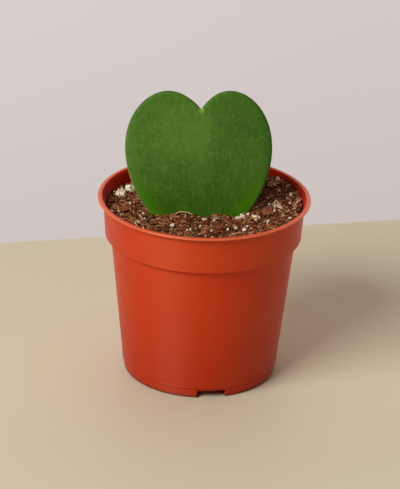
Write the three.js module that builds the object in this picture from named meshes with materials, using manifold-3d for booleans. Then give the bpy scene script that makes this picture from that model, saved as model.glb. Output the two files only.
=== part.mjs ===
// Potted hoya: one rooted, heart-shaped succulent leaf in a round moulded nursery pot.
// Millimetres, +Z up. The origin is the centre of the pot's standing plane, and the front faces -Y.
import * as THREE from 'three';
import { mergeVertices } from 'three/addons/utils/BufferGeometryUtils.js';
import Module from 'manifold-3d';

const wasm = await Module();
wasm.setup();

// General sizes
const gap = 0.3;                  // clearance between pieces that touch
const degree = Math.PI / 180;
const potSides = 60;

// Pot: a thin flanged lip, a deep collar, a plain tapered body and a slightly inset foot ring
const potHeight = 91.8;
const wall = 1.0;
const lipRadius = 52.2;
const lipThickness = 0.9;
const collarTopRadius = 49.5;
const collarFootRadius = 48.3;
const collarHeight = 19.6;
const bodyTopRadius = 45.6;
const bodyFootRadius = 38.6;
const footRingHeight = 5.4;
const footRingTopRadius = 38.0;
const footRingRadius = 37.8;
const footRingWall = 1.5;
const basePlateZ = 4.2;           // underside of the raised base plate
const basePlateThickness = 1.2;

// Drainage: notches through the foot ring, and holes in the base plate
const notchCount = 3;
const notchAngle = 9.5;           // degrees from the front towards +X
const notchWidth = 14.0;
const notchHeight = 3.9;
const drainHoleCount = 6;
const drainHoleRadius = 3.5;
const drainCircleRadius = 25.0;

// Soil: its level and tilt, and the size of the lumps in its surface
const soilLevel = 86.4;
const soilTilt = 0.04;            // rise per millimetre towards +X
const soilEdgeRadius = 47.8;
const soilRings = 11;
const clodHeight = 1.6;           // height range of the crumbs at the pot wall, less towards the middle
const perliteLumps = 40;
const barkCrumbs = 70;
const soilSeed = 4127;
const grainSeed = 911;

// Leaf: half widths either side of the midrib, heights above the soil line, buried depth
const leafPlace = { x: -2.1, y: -9.0, z: 85.0 };
const leafLeanBack = 3.0;         // degrees
const leafLeanLeft = 1.7;         // degrees
const leafHalfWidthLeft = 35.9;
const leafHalfWidthRight = 35.2;
const leafWidestHeight = 34.3;
const lobeTopOffset = 14.6;
const lobeTopHeight = 63.8;
const notchPoint = { u: 0.9, w: 54.6 };
const leafBuriedDepth = 25.0;
const leafBaseHalfWidth = 2.0;
const leafThickness = 3.2;
const leafRecurve = 1.8;          // how far the side margins bend back
const leafSides = 88;

// Leaf stalk and roots
const stalkRadius = 1.9;
const stalkEndRadius = 1.6;
const stalkTop = -20.0;
const stalkEnd = -37.0;
const rootCount = 7;
const rootRadius = 0.75;
const rootTipRadius = 0.35;
const rootSeed = 58;

// A small seeded generator of numbers from 0 to 1
function seeded(seed) {
  let state = seed >>> 0;
  return () => {
    state = (state + 0x6d2b79f5) >>> 0;
    let t = state;
    t = Math.imul(t ^ (t >>> 15), t | 1);
    t ^= t + Math.imul(t ^ (t >>> 7), t | 61);
    return ((t ^ (t >>> 14)) >>> 0) / 4294967296;
  };
}

// Joins a geometry's shared vertices and drops the empty triangles at the poles
function welded(geometry) {
  const bare = geometry.clone();
  bare.deleteAttribute('normal');
  bare.deleteAttribute('uv');
  const merged = mergeVertices(bare, 1e-4);
  const kept = [];
  const index = merged.index.array;
  for (let i = 0; i < index.length; i += 3) {
    const [a, b, c] = [index[i], index[i + 1], index[i + 2]];
    if (a !== b && b !== c && c !== a) kept.push(a, b, c);
  }
  merged.setIndex(kept);
  return merged;
}

function toSolid(geometry) {
  const mesh = welded(geometry);
  return new wasm.Manifold(new wasm.Mesh({
    numProp: 3,
    vertProperties: new Float32Array(mesh.attributes.position.array),
    triVerts: new Uint32Array(mesh.index.array),
  }));
}

function toGeometry(solid) {
  const mesh = solid.getMesh();
  const geometry = new THREE.BufferGeometry();
  geometry.setAttribute('position', new THREE.BufferAttribute(mesh.vertProperties, 3));
  geometry.setIndex(new THREE.BufferAttribute(mesh.triVerts, 1));
  return geometry;
}

// Turns a profile of [radius, height] pairs round the Z axis
function turned(profile, sides) {
  const points = profile.map(([radius, z]) => new THREE.Vector2(radius, z));
  return new THREE.LatheGeometry(points, sides).rotateX(Math.PI / 2);
}

function namedMesh(name, geometry, color, roughness) {
  const material = new THREE.MeshStandardMaterial({ color, roughness, metalness: 0 });
  const mesh = new THREE.Mesh(geometry, material);
  mesh.name = name;
  return mesh;
}

// The pot's inner wall radius at a height, above and below the collar's step
const collarFootZ = potHeight - collarHeight;
function innerRadius(z) {
  if (z > collarFootZ + wall) {
    const share = (z - collarFootZ) / collarHeight;
    return THREE.MathUtils.lerp(collarFootRadius, collarTopRadius, share) - wall;
  }
  const share = (z - footRingHeight) / (collarFootZ - footRingHeight);
  return THREE.MathUtils.lerp(bodyFootRadius, bodyTopRadius, share) - wall;
}

function makePot() {
  const top = potHeight;
  const floorZ = basePlateZ + basePlateThickness;
  const stepZ = collarFootZ + wall;
  const profile = [
    [0, basePlateZ],
    [footRingRadius - footRingWall - 0.1, basePlateZ],
    [footRingRadius - footRingWall, 0],
    [footRingRadius - 0.3, 0],
    [footRingRadius, 0.3],
    [footRingTopRadius, footRingHeight],
    [bodyFootRadius, footRingHeight + 0.2],
    [bodyTopRadius, collarFootZ - 0.4],
    [collarFootRadius - 0.4, collarFootZ],
    [collarFootRadius, collarFootZ + 0.4],
    [collarTopRadius, top - 3],
    [collarTopRadius + 0.9, top - lipThickness],
    [lipRadius - 0.3, top - lipThickness],
    [lipRadius, top - lipThickness / 2],
    [lipRadius - 0.3, top],
    [collarTopRadius + 0.5, top],
    [collarTopRadius - 0.8, top - 1.6],
    [innerRadius(stepZ + 0.4), stepZ + 0.2],
    [innerRadius(stepZ), stepZ],
    [innerRadius(floorZ + 2.5), floorZ + 2.5],
    [innerRadius(floorZ) - 0.8, floorZ],
    [0, floorZ],
  ];
  let pot = toSolid(turned(profile, potSides));

  for (let i = 0; i < notchCount; i++) {
    const angle = notchAngle * degree + (i * 2 * Math.PI) / notchCount;
    const cut = new THREE.BoxGeometry(notchWidth, footRingWall * 4, notchHeight * 2);
    cut.translate(0, -footRingRadius + footRingWall / 2, 0);
    cut.rotateZ(angle);
    pot = pot.subtract(toSolid(cut));
  }

  const drillings = [[0, 0]];
  for (let i = 0; i < drainHoleCount; i++) {
    const angle = (i * 2 * Math.PI) / drainHoleCount;
    drillings.push([drainCircleRadius * Math.cos(angle), drainCircleRadius * Math.sin(angle)]);
  }
  for (const [x, y] of drillings) {
    const drill = new THREE.CylinderGeometry(drainHoleRadius, drainHoleRadius, 6, 16);
    drill.rotateX(Math.PI / 2).translate(x, y, basePlateZ + basePlateThickness / 2);
    pot = pot.subtract(toSolid(drill));
  }
  return toGeometry(pot);
}

// One side of the heart, from the notch over the lobe and down to the base
function addHeartSide(outline, side, halfWidth) {
  const widest = side * halfWidth;
  outline.bezierCurveTo(
    notchPoint.u + side * 2.8, notchPoint.w + 4.0,
    side * (lobeTopOffset - 6.4), lobeTopHeight,
    side * lobeTopOffset, lobeTopHeight,
  );
  outline.bezierCurveTo(
    side * (lobeTopOffset + 9.9), lobeTopHeight,
    widest, leafWidestHeight + 18.2,
    widest, leafWidestHeight,
  );
  outline.bezierCurveTo(
    widest, leafWidestHeight - 16,
    side * (halfWidth - 7.5), 1,
    side * leafBaseHalfWidth, -leafBuriedDepth,
  );
}

// Evenly spaced points round the heart, anticlockwise from the notch as seen from the front
function heartOutline() {
  const left = new THREE.Path();
  left.moveTo(notchPoint.u, notchPoint.w);
  addHeartSide(left, -1, leafHalfWidthLeft);
  const right = new THREE.Path();
  right.moveTo(notchPoint.u, notchPoint.w);
  addHeartSide(right, 1, leafHalfWidthRight);
  const half = leafSides / 2;
  const leftPoints = left.getSpacedPoints(half - 1);
  const rightPoints = right.getSpacedPoints(half).reverse();
  return [...leftPoints, ...rightPoints.slice(0, half)];
}

// The blade: a thin turned lens whose rim is drawn out to the heart, with its margin rounded.
// grow widens it all round, which gives the hole that it stands in.
function bladeGeometry(grow) {
  const outline = heartOutline();
  const middle = new THREE.Vector2(0, leafWidestHeight - 10);
  const half = leafThickness / 2;
  const back = [[0, -half], [0.4, -half], [0.75, -half * 0.94], [0.93, -half * 0.8], [0.985, -half * 0.45]];
  const front = back.map(([share, depth]) => [share, -depth]).reverse();
  const profile = [...back, [1, 0], ...front];
  const lens = turned(profile, leafSides);
  const position = lens.attributes.position;
  const rings = profile.length;
  for (let i = 0; i < position.count; i++) {
    const [share, depth] = profile[i % rings];
    const edge = outline[Math.floor(i / rings) % leafSides];
    const outwards = edge.clone().sub(middle).normalize().multiplyScalar(grow * share);
    const point = middle.clone().lerp(edge, share).add(outwards);
    const swell = depth + Math.sign(depth) * grow;
    const bend = leafRecurve * (point.x / leafHalfWidthLeft) ** 2;
    position.setXYZ(i, point.x, bend - swell, point.y);
  }
  return lens;
}

// The leaf stalk below the blade, widened by grow for its hole
function stalkGeometry(grow) {
  const end = stalkEnd - grow;
  return turned([
    [0, end],
    [stalkEndRadius + grow - 0.4, end],
    [stalkEndRadius + grow, end + 0.5],
    [stalkRadius + grow, stalkTop - 6],
    [stalkRadius * 0.8 + grow, stalkTop],
    [0, stalkTop + 2],
  ], 12);
}

function leafSolid(grow) {
  return toSolid(bladeGeometry(grow)).add(toSolid(stalkGeometry(grow)));
}

// Roots: a swollen callus under the stalk's cut end, and tapered roots that arch out and down
function rootsSolid(grow) {
  const random = seeded(rootSeed);
  const callusTop = stalkEnd - gap;
  const callusHeight = 4.0;
  const callusRadius = 2.3;
  let roots = toSolid(turned([
    [0, callusTop - callusHeight - grow],
    [callusRadius * 0.7 + grow, callusTop - callusHeight + 0.6 - grow],
    [callusRadius + grow, callusTop - callusHeight / 2],
    [stalkEndRadius + grow, callusTop + grow],
    [0, callusTop + grow],
  ], 12));
  for (let i = 0; i < rootCount; i++) {
    const length = 17 + 8 * random();
    const heading = ((i + 0.5 * random()) * 2 * Math.PI) / rootCount;
    const droop = 0.55 + 0.5 * random();
    const waver = 1.2 * (random() - 0.5);
    const root = turned([
      [0, -1],
      [rootRadius + grow, -1],
      [rootRadius + grow, length * 0.2],
      [(rootRadius + rootTipRadius) / 2 + grow, length * 0.45],
      [(rootRadius + rootTipRadius * 2) / 3 + grow, length * 0.75],
      [rootTipRadius + grow, length + grow],
      [0, length + grow],
    ], 6);
    root.rotateX(Math.PI / 2);
    const position = root.attributes.position;
    for (let k = 0; k < position.count; k++) {
      const along = Math.max(0, -position.getY(k)) / length;
      position.setX(k, position.getX(k) + waver * Math.sin(along * 2 * Math.PI));
      position.setZ(k, position.getZ(k) - droop * length * along * along);
    }
    root.rotateZ(heading).translate(0, 0, callusTop - callusHeight * 0.55);
    roots = roots.add(toSolid(root));
  }
  return roots;
}

// Height of the soil's surface: a slight tilt, soft hollows and mounds, and lumps against the leaf
function soilHeight(x, y) {
  const mound = (mx, my, reach, height) =>
    height * Math.exp(-((x - mx) ** 2 + (y - my) ** 2) / (reach * reach));
  const swell = 0.45 * Math.sin(x * 0.21 + 1.3) * Math.cos(y * 0.17 - 0.4)
    + 0.3 * Math.sin(x * 0.37 - y * 0.31 + 2.1);
  return soilLevel + soilTilt * x + swell
    + mound(-9.5, -12.5, 5.5, 1.4)
    + mound(-26, -11, 5, 0.6)
    + mound(21, -11, 4.5, 1.0)
    - mound(1, -12, 5, 1.0)
    - mound(10, 22, 14, 0.8);
}

function soilBody() {
  const floorZ = basePlateZ + basePlateThickness + gap;
  const stepZ = collarFootZ + wall + gap;
  const profile = [
    [0, floorZ],
    [innerRadius(floorZ) - 0.8 - gap, floorZ],
    [innerRadius(floorZ + 2.5) - gap, floorZ + 2.5],
    [innerRadius(collarFootZ) - gap, stepZ],
    [innerRadius(stepZ + 0.4) - gap - 0.1, stepZ + 0.1],
    [soilEdgeRadius, soilLevel],
  ];
  const sideRows = profile.length - 1;
  for (let i = 1; i <= soilRings; i++) {
    profile.push([soilEdgeRadius * (1 - i / soilRings), soilLevel]);
  }
  const random = seeded(soilSeed);
  const clods = Array.from({ length: (soilRings + 1) * potSides }, () => clodHeight * (random() - 0.5));
  const body = turned(profile, potSides);
  const position = body.attributes.position;
  for (let i = 0; i < position.count; i++) {
    const ring = (i % profile.length) - sideRows;
    if (ring < 0) continue;
    const side = ring === soilRings ? 0 : Math.floor(i / profile.length) % potSides;
    const clod = clods[ring * potSides + side] * (1 - ring / soilRings);
    position.setZ(i, soilHeight(position.getX(i), position.getY(i)) + clod);
  }
  return toSolid(body);
}

// A faceted grain with jittered corners, sunk into the surface at a place
function grain(random, x, y, radius, flatness) {
  const rock = welded(new THREE.IcosahedronGeometry(radius, 0));
  const position = rock.attributes.position;
  for (let i = 0; i < position.count; i++) {
    const scale = 0.75 + 0.45 * random();
    position.setXYZ(
      i,
      position.getX(i) * scale,
      position.getY(i) * scale,
      position.getZ(i) * scale * flatness,
    );
  }
  rock.rotateX((random() - 0.5) * 1.2).rotateZ(random() * 2 * Math.PI);
  return rock.translate(x, y, soilHeight(x, y) + radius * 0.1 * flatness);
}

// Whether a grain of this radius lies clear of the pot wall and of the leaf's place
function isFree(x, y, radius) {
  const clearOfWall = Math.hypot(x, y) + radius * 1.2 < soilEdgeRadius;
  const besideLeaf = Math.abs(y - leafPlace.y) > leafThickness / 2 + gap + 1.2 * radius + 0.4;
  const pastLeaf = Math.abs(x - leafPlace.x) > 27 + radius;
  return clearOfWall && (besideLeaf || pastLeaf);
}

// The larger perlite lumps that show: [x, y, radius]
const showingLumps = [
  [-41.2, 13.5, 2.4], [-37.4, 19.0, 2.2], [16.6, -15.4, 1.3], [19.4, -14.0, 1.3],
  [24.9, -15.3, 1.3], [31.2, -19.7, 1.1], [19.8, -29.7, 1.2], [37.1, 21.1, 1.3],
  [35.4, 27.4, 1.1], [35.0, -3.4, 1.2], [-29.3, -13.0, 1.1], [-31.6, -19.3, 1.3],
  [-15.2, -24.0, 1.3], [-40.3, -11.8, 1.1], [5.4, -17.6, 1.0], [-7.4, -29.5, 1.1],
];

function makeSoil(plantMatrix) {
  const random = seeded(grainSeed);
  const grains = showingLumps.map(([x, y, radius]) => grain(random, x, y, radius, 0.9));
  const scatter = (count, smallest, largest, flatness) => {
    let placed = 0;
    while (placed < count) {
      const radius = smallest + (largest - smallest) * random() ** 2;
      const reach = soilEdgeRadius * Math.sqrt(random());
      const angle = 2 * Math.PI * random();
      const x = reach * Math.cos(angle);
      const y = reach * Math.sin(angle);
      if (!isFree(x, y, radius)) continue;
      grains.push(grain(random, x, y, radius, flatness));
      placed += 1;
    }
  };
  scatter(perliteLumps - showingLumps.length, 0.8, 1.3, 0.9);
  scatter(barkCrumbs, 0.9, 2.2, 0.6);

  let soil = soilBody();
  for (const lump of grains) soil = soil.add(toSolid(lump));
  const hole = leafSolid(gap).add(rootsSolid(gap));
  const placedHole = toSolid(toGeometry(hole).applyMatrix4(plantMatrix));
  return toGeometry(soil.subtract(placedHole));
}

// Assembly: the leaf and its roots share one tilted frame whose origin is at the soil line
const plant = new THREE.Group();
plant.position.set(leafPlace.x, leafPlace.y, leafPlace.z);
plant.rotation.set(-leafLeanBack * degree, -leafLeanLeft * degree, 0);
plant.updateMatrix();
plant.add(namedMesh('leaf', toGeometry(leafSolid(0)), 0x446e26, 0.5));
plant.add(namedMesh('roots', toGeometry(rootsSolid(0)), 0xcdbd98, 0.8));

const group = new THREE.Group();
group.add(namedMesh('pot', makePot(), 0xbe3f1f, 0.4));
group.add(namedMesh('soil', makeSoil(plant.matrix), 0x4a2f1c, 0.95));
group.add(plant);

export default group;
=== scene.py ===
"""Potted hoya: a heart-shaped succulent leaf in a round moulded nursery pot, filled with potting soil.

The sizes below are millimetres, as in the part's CAD, unless a heading says otherwise, and mm() turns
them into Blender's metres.
The pot stands on z = 0 with its axis on the origin, and the leaf's front faces -Y.
"""

import math
import random

import bpy
import bmesh
from mathutils import Matrix, Vector, noise


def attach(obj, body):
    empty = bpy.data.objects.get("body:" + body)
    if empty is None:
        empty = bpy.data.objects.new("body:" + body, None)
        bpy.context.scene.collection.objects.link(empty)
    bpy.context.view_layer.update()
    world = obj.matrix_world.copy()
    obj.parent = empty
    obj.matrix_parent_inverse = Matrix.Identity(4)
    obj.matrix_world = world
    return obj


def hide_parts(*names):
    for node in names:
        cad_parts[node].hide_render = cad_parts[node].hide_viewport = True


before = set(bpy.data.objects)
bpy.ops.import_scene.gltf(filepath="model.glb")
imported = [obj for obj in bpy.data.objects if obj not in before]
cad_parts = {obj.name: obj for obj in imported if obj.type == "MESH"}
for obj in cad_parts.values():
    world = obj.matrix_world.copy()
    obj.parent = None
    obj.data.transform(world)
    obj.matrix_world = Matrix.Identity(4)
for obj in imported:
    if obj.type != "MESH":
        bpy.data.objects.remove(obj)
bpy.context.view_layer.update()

UP = Vector((0, 0, 1))

# Pot
POT_HEIGHT = 91.8
WALL = 1.0
LIP_RADIUS = 52.2
LIP_THICKNESS = 0.9
LIP_EDGE_WIDTH = 0.9
LIP_INNER_RADIUS = 50.0
COLLAR_TOP_RADIUS = 49.5
COLLAR_FOOT_RADIUS = 48.3
COLLAR_FOOT_Z = POT_HEIGHT - 19.6
BODY_TOP_RADIUS = 45.6
BODY_FOOT_RADIUS = 38.6
FOOT_RING_HEIGHT = 5.4
FOOT_RING_TOP_RADIUS = 38.0
FOOT_RING_RADIUS = 37.8
FOOT_RING_WALL = 1.5
PARTING_BEAD = 0.2
BASE_PLATE_Z = 4.2
BASE_PLATE_THICKNESS = 1.2
FLOOR_Z = BASE_PLATE_Z + BASE_PLATE_THICKNESS
POT_SIDES = 240
NOTCH_COUNT = 3
NOTCH_ANGLE = 9.5
NOTCH_WIDTH = 14.0
NOTCH_HEIGHT = 3.9
NOTCH_CORNER = 0.8
NOTCH_CORNER_TURNS = (math.pi / 8, math.pi / 4, 3 * math.pi / 8)
DRAIN_HOLE_COUNT = 6
DRAIN_HOLE_RADIUS = 3.5
DRAIN_HOLE_SIDES = 40
DRAIN_CIRCLE_RADIUS = 25.0

# Soil
SOIL_LEVEL = 86.4
SOIL_TILT = 0.025
SOIL_RISE_AT_WALL = 1.6
SWELL_HEIGHT = 0.45
SWELL_WAVES = (0.21, 0.17)
SWELL_SHIFT = (1.3, 0.4)
SLANT_SWELL_HEIGHT = 0.3
SLANT_SWELL_WAVES = (0.37, 0.31)
SLANT_SWELL_SHIFT = 2.1
SOIL_EDGE_RADIUS = 47.9
SOIL_GRID = 190
SOIL_GAP = 0.3
SOIL_RING_HEIGHTS = (78, 40)
SOIL_BURIED_RELIEF = -0.5
COARSE_WAVES = 0.33
COARSE_RELIEF = 0.9
PIT_WAVES = 0.62
PIT_RELIEF = 0.9
DEEPEST_PIT = 0.8
FINE_WAVES = 2.1
FINE_RELIEF = 0.18
LOOSE_GRAINS_ABOVE = COLLAR_FOOT_Z + 8
WALL_CLEARANCE = 0.2
LEAF_CLEARANCE = 0.25

# Mounds and hollows of the soil's surface: where each lies (x, y), its reach and its height
SOIL_MOUNDS = [
    (-9.5, -12.5, 5.5, 0.6), (-24, -12, 4.5, -0.9), (22, -11, 2.6, 1.0), (16.8, -12.5, 3.2, -2.0),
    (1, -12, 5, -0.5), (6.5, -12, 3, 0.4), (8, 22, 12, -0.8), (39, 21, 14, 1.5), (-33, 32, 14, -1.7),
]

# Leaf: its heights count from near the soil's surface; side -1 is its left and side 1 its right
LEAF_PLACE = Vector((-2.1, -9.0, 85.0))
LEAF_LEAN_BACK = 3.0
LEAF_LEAN_LEFT = 1.7
LEAF_TURN = (
    Matrix.Rotation(math.radians(-LEAF_LEAN_BACK), 3, "X")
    @ Matrix.Rotation(math.radians(-LEAF_LEAN_LEFT), 3, "Y")
)
LEAF_HALF_WIDTH = {-1: 35.9, 1: 35.2}
LEAF_WIDEST_HEIGHT = 34.3
LEAF_MIDDLE_BELOW_WIDEST = 10
LOBE_TOP_OFFSET = 14.6
LOBE_TOP_HEIGHT = 63.8
NOTCH_POINT = Vector((0.9, 54.6))
NOTCH_HANDLE = (2.8, 4.0)
LOBE_HANDLES = (6.4, 9.9)
WIDEST_HANDLES = (18.2, 16)
BASE_HANDLE = (7.5, 1)
CURVE_STEPS = 400
# Middle of the painted sheen on the blade's front
PAINTED_SHEEN_MIDDLE = Vector((-7.0, 42.0))
LEAF_BURIED_DEPTH = 25.0
LEAF_BASE_HALF_WIDTH = 2.0
LEAF_THICKNESS = 3.2
LEAF_THINNING = 0.1
LEAF_RECURVE = 1.8
LEAF_SIDES = 320
BLADE_RINGS = 15
BLADE_RING_STEP = 0.06
MARGIN_START = 0.955
MARGIN_RINGS = 9
MARGIN_ROUNDNESS = 2.4
GROOVE_DEPTH = 0.28
GROOVE_PLACE = 0.35
GROOVE_WIDTH = 1.5
GROOVE_IN_FRONT = 0.4
BLADE_WAVES = ((0.32, 0.045, 3.7), (0.05, 0.22, 9.1))
STALK_RADIUS = 1.9
STALK_END_RADIUS = 1.6
STALK_TOP = -20.0
STALK_END = -37.0
STALK_SIDES = 24
LEAF_SOIL_HALF_WIDTH = 22.5
LEAF_SOCKET_GAP = 0.05


def srgb(red, green, blue):
    """A colour as it looks on a screen, 0 to 255, as the linear colour that a shader takes."""
    linear = []
    for value in (red, green, blue):
        share = value / 255
        linear.append(share / 12.92 if share <= 0.04045 else ((share + 0.055) / 1.055) ** 2.4)
    return (*linear, 1.0)


def mm(value):
    """Millimetres to metres, for a number or a vector."""
    return value * 0.001


# Loose grains: sizes are radii in metres and tilts are in radians, as the node trees take them
CRUMBS = {
    "Per square metre": 1.1e6, "Smallest": 0.00022, "Largest": 0.0010, "Narrowest": 0.45, "Widest": 1.0,
    "Flattest": 0.3, "Lift": 0.5, "Fineness": 1, "Roughness scale": 1300.0, "Roughness depth": 0.0012,
    "Seed": 17,
}
SHREDS = {
    "Per square metre": 1.1e6, "Smallest": 0.0004, "Largest": 0.0021, "Narrowest": 0.14, "Widest": 0.5,
    "Flattest": 0.16, "Lift": 0.0005, "Tilt": 0.7, "Fineness": 1, "Roughness scale": 800.0,
    "Roughness depth": 0.0009, "Seed": 61,
}
BARK = {
    "Per square metre": 9.0e4, "Smallest": 0.0008, "Largest": 0.0026, "Narrowest": 0.4, "Widest": 0.9,
    "Flattest": 0.2, "Lift": 0.0005, "Tilt": 0.6, "Fineness": 1, "Roughness scale": 520.0,
    "Roughness depth": 0.0013, "Seed": 23,
}
FIBRES = {
    "Per square metre": 5.0e4, "Smallest": 0.003, "Largest": 0.009, "Thickness": 0.00013, "Lift": 0.0008,
    "Roughness scale": 130.0, "Roughness depth": 0.004, "Seed": 31,
}
PERLITE = {
    "Narrowest": 0.5, "Widest": 1.2, "Flattest": 0.45, "Fineness": 2, "Waves": 1.8, "Unevenness": 3.0,
    "Seed": 7,
}
DEEPEST_CRUMB = -0.3
LEAST_FLAT_CRUMB = 0.9
FIBRE_TILT = 0.22
FIBRE_POINTS = 8
FIBRE_SIDES = 5
SMALL_GRAIN_POWER = 2.2

# Offsets from the seed, which keep the random numbers of a grain apart from one another
SIZE_DRAW = 5
WIDTH_DRAW = 11
LIFT_DRAW = 21
FLATNESS_DRAW = 31
TURN_DRAWS = (41, 42, 43)
TONE_DRAW = 90

# Perlite: the small grains follow a seed, and those that stand out are given by place (x, y) and radius
PERLITE_SEED = 5
PERLITE_LIFT = 0.4
SMALL_PERLITE_COUNT = 44
SMALL_PERLITE_RADIUS = 0.28
SMALL_PERLITE_SPREAD = 0.75
SMALL_PERLITE_REACH = 0.985
SHOWING_PERLITE = [
    (-42.2, 10.2, 1.8), (-40.8, 12.3, 2), (-39.7, 10.7, 1.3), (-42.6, 12.4, 1.3), (-40.2, 13.6, 1.1),
    (-37.7, 17.4, 1.8), (-36.2, 19.4, 1.9), (-36.2, 17.0, 1.3), (-37.9, 19.9, 1.3), (-35.4, 18.0, 1.1),
    (35.6, -1.2, 0.68), (37.3, 0.6, 0.59), (37.6, -3.2, 0.59), (34.2, 1.4, 0.51), (40.2, -9.6, 0.48),
    (16.4, -14.3, 1.4), (18.9, -13.4, 1.5), (17.6, -15.6, 0.9), (24.9, -14.9, 1.5), (26.6, -14.4, 1.1),
    (31.2, -19.6, 0.8), (15.7, -26.7, 0.68), (19.8, -29.9, 0.96), (21, -24.6, 0.56), (36.9, 14.6, 1.3),
    (36.4, 27.0, 1.4), (34.8, 21.9, 0.68), (40.8, 6.8, 0.64), (42.2, 2.6, 0.64), (34.8, -1.6, 0.64),
    (36.6, -2.4, 0.64), (34.4, -6.4, 0.64), (26, -2.8, 0.75), (41.6, -17, 0.6), (-41.3, -10.2, 0.6),
    (-40.2, -15, 0.8), (-36.3, 0.6, 0.75), (-29.3, -10.2, 0.8), (-28.7, -15.9, 0.6), (-31.8, -20.8, 0.76),
    (-31.1, -22.2, 0.72), (-28.9, -32.1, 0.6), (-26.1, -35.5, 0.6), (-15.2, -24.6, 0.96), (1.1, -15.8, 0.6),
    (5, -17.2, 0.68), (-1.5, -25.4, 0.6), (-7.8, -30.3, 0.6), (-6.2, -29.6, 0.56), (3.9, -32.2, 0.6),
    (11.8, -28.8, 0.6), (1.4, -39.1, 0.48), (4.2, -39.8, 0.48),
]

# Flat bark pieces, each given by its place (x, y), half length, half width, thickness and degrees of turn
BARK_SIDES = 36
BARK_RINGS = (0.3, 0.55, 0.75, 0.9)
BARK_RAGGEDNESS = 0.5
BARK_RIPPLE = 0.22
BARK_LIFT = 0.75
BARK_PIECES = [
    (30.9, -7.6, 4.4, 3.3, 1.1, 78), (7.0, -28.4, 3.8, 1.8, 0.9, 4), (-24.2, -23.6, 3.0, 1.4, 0.8, 35),
    (-38.6, -8.2, 2.4, 1.5, 0.8, 60), (38.8, -11.6, 2.2, 1.1, 0.8, -40), (25.6, 12.4, 3.2, 1.8, 0.9, 15),
    (-14.0, 24.0, 3.6, 2.0, 0.9, -20), (8.0, 34.0, 3.0, 1.7, 0.9, 50),
]

# Pale straws, each given by three points (x, y, height above the soil) and its radius
STRAW_SIDES = 6
STRAW_STEPS = 14
STRAW_TAPER = 0.45
STRAW_LIFT = 0.3
STRAWS = [
    ((43.5, -3.3, 0.4), (46.2, 0.6, 1.5), (48.2, 3.9, 0.8), 0.28),
    ((44.6, -1.2, 0.5), (45.6, 2.6, 1.2), (47.2, 6.8, 0.7), 0.18),
    ((34.6, -6.0, 0.5), (34.7, -1.6, 1.5), (34.9, 2.6, 1.0), 0.26),
    ((35.0, 2.4, 1.0), (36.6, -1.4, 1.3), (38.6, -5.2, 0.4), 0.24),
    ((-14.2, -12.6, -0.2), (-10.2, -12.3, 1.6), (-5.2, -12.2, 0.3), 0.28),
    ((-31.6, -13.4, 0.4), (-30.6, -15.8, 1.3), (-29.4, -19.4, 0.5), 0.26),
    ((12.4, -36.8, 0.5), (15.8, -36.2, 1.2), (19.0, -34.4, 0.5), 0.24),
    ((-20.0, 30.0, 0.5), (-15.0, 33.0, 1.5), (-9.0, 34.0, 0.5), 0.28),
]

# Colours
POT_RED = srgb(210, 59, 16)
POT_RED_DEEP = srgb(204, 53, 13)
POT_RED_PALE_AND_PAINTED_LIGHT = srgb(222, 88, 44)
POT_RED_INSIDE_DUST_AND_PAINTED_SHADE = srgb(168, 18, 0)
POT_RED_PAINTED_LOW_SHADE = srgb(184, 44, 9)
POT_FOOT_PAINTED_SHADE = srgb(88, 32, 14)
POT_RED_PAINTED_LIP_HIGHLIGHT = srgb(240, 128, 86)
WARM_GLOSS = (1.0, 0.84, 0.6, 1.0)
LEAF_GREEN = srgb(64, 108, 13)
LEAF_GREEN_DEEP = srgb(55, 99, 7)
LEAF_GREEN_GREY = srgb(76, 116, 27)
LEAF_GREEN_PALE_AND_PAINTED_LIGHT = srgb(94, 134, 44)
LEAF_GREEN_DARK_AND_PAINTED_SHADE = srgb(46, 89, 2)
LEAF_MARGIN_GREEN = srgb(64, 116, 2)
LEAF_CORNER_GREEN = srgb(74, 134, 2)
LEAF_NOTCH_PAINTED_LIGHT = srgb(146, 172, 66)
LEAF_EDGE_PAINTED_SHADE = srgb(84, 96, 36)
LEAF_RIM_PAINTED_LIGHT = srgb(196, 180, 112)
STALK_GREEN = srgb(150, 165, 96)
PEAT_BROWNS = [
    (0.0, srgb(40, 15, 3)), (0.2, srgb(98, 48, 20)), (0.45, srgb(152, 84, 42)),
    (0.68, srgb(186, 120, 68)), (0.86, srgb(220, 172, 112)), (1.0, srgb(255, 226, 172)),
]
CRUMB_RED = srgb(128, 60, 38)
BARK_BROWNS = [
    (0.3, srgb(66, 30, 14)), (0.5, srgb(126, 66, 36)), (0.62, srgb(148, 84, 52)), (0.8, srgb(184, 128, 88)),
]
STRAW_TAN = srgb(246, 206, 166)
STRAW_BROWN = srgb(206, 150, 110)
ROOT_CREAM = srgb(222, 205, 168)
ROOT_BROWN = srgb(176, 140, 92)
PERLITE_WHITE = srgb(255, 251, 234)
PERLITE_CREAM = srgb(252, 229, 186)
PERLITE_DUST = srgb(186, 142, 98)
PERLITE_PORE = srgb(176, 150, 116)
TABLE_BEIGE = srgb(221, 209, 183)
TABLE_BEIGE_WARM = srgb(219, 206, 179)
BACKDROP = srgb(217, 207, 205)
BACKDROP_LOW = srgb(204, 194, 191)
BACKDROP_RIGHT = (0.94, 0.94, 0.935, 1.0)

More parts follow.
